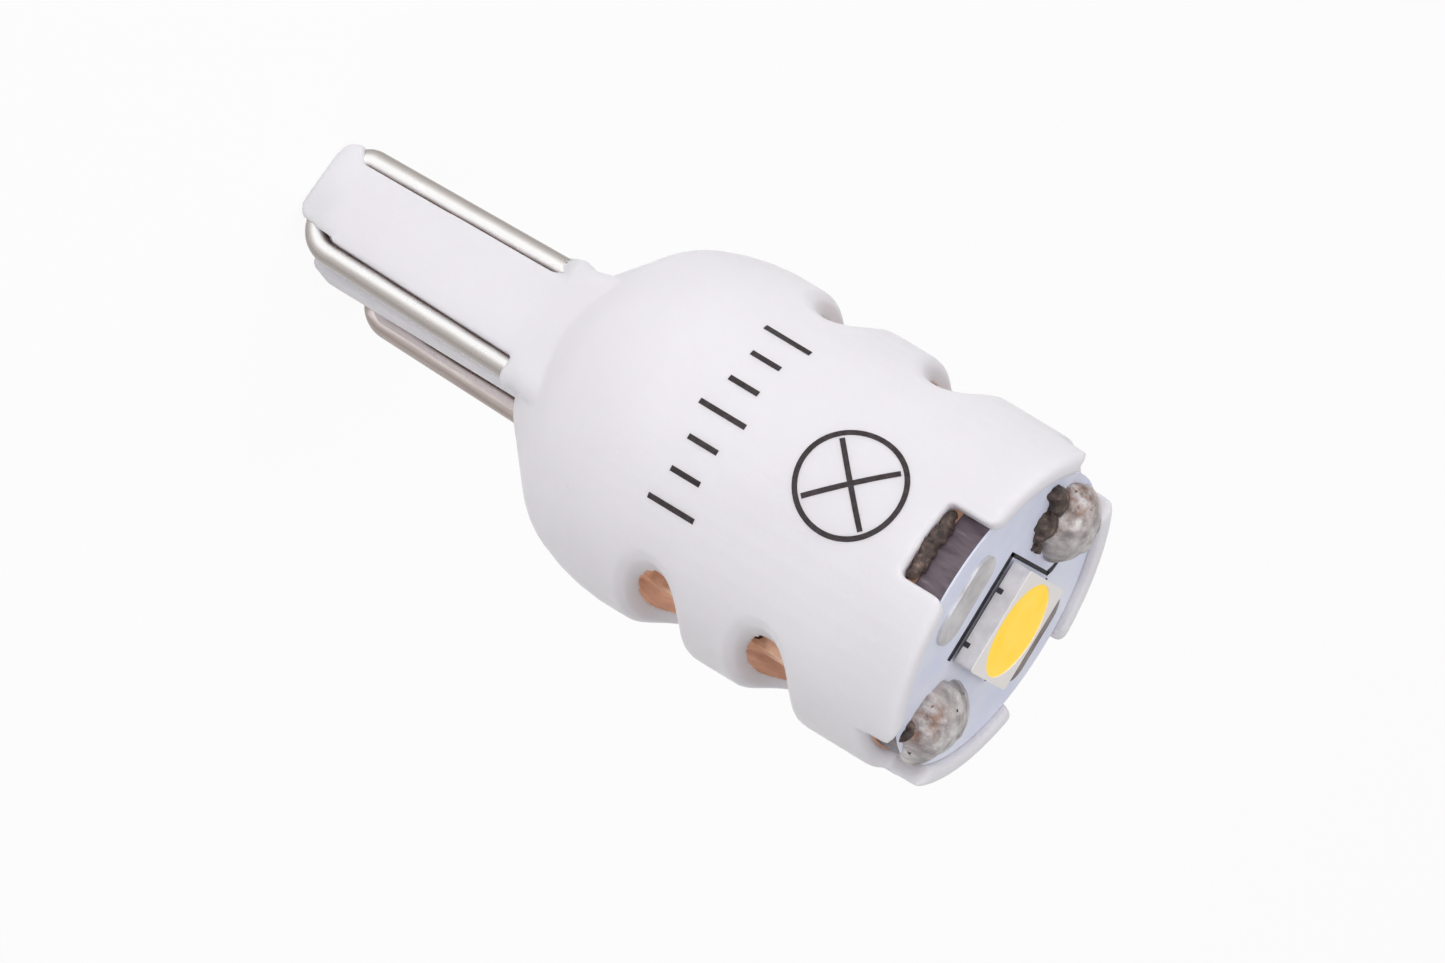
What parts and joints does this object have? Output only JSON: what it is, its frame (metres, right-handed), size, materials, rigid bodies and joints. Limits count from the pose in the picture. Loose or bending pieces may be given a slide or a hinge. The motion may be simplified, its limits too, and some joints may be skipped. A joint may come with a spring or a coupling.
{
  "type": "wedge base led bulb",
  "caption": "Capless automotive LED bulb: white moulded body with a flat wedge foot, hairpin contact wires and an open head holding a round board with a yellow-white diode.",
  "frame": {"origin": "on the bulb's axis, at the level of the plastic wedge's tip", "axes": "+Z along the axis from the wedge tip to the diode, X across the wedge's width, Y across its thickness"},
  "size_m": [0.0104, 0.0104, 0.0232],
  "materials": {
    "white_plastic": "satin moulded nylon, cool white",
    "board_white": "aluminium-cored board with a pale solder mask",
    "board_fibre": "tan glass-fibre laminate with a copper edge",
    "led_white": "off-white moulded resin",
    "phosphor": "yellow phosphor in clear resin",
    "tinned_wire": "bright tinned wire",
    "solder": "dull grey solder with flux stains",
    "terminal": "plated lead frame",
    "tinned_pad": "thin tinned pad",
    "chip_black": "black moulding compound",
    "resistor_black": "glazed black film",
    "capacitor_tan": "tan ceramic"
  },
  "bodies": {
    "root": {"housing": "white_plastic", "led_board": "board_white", "driver_board": "board_fibre", "led_frame": "led_white", "led_phosphor": "phosphor", "contact_wire_a": "tinned_wire", "contact_wire_b": "tinned_wire", "wire_joint_a": "solder", "wire_joint_b": "solder", "tab_solder_a": "solder", "tab_solder_b": "solder", "led_terminal_a": "terminal", "led_terminal_b": "terminal", "oval_pad_a": "tinned_pad", "oval_pad_b": "tinned_pad", "driver_chip": "chip_black", "rectifier": "chip_black", "resistor_a": "resistor_black", "resistor_b": "resistor_black", "capacitor_a": "capacitor_tan", "capacitor_b": "capacitor_tan"}
  },
  "joints": []
}
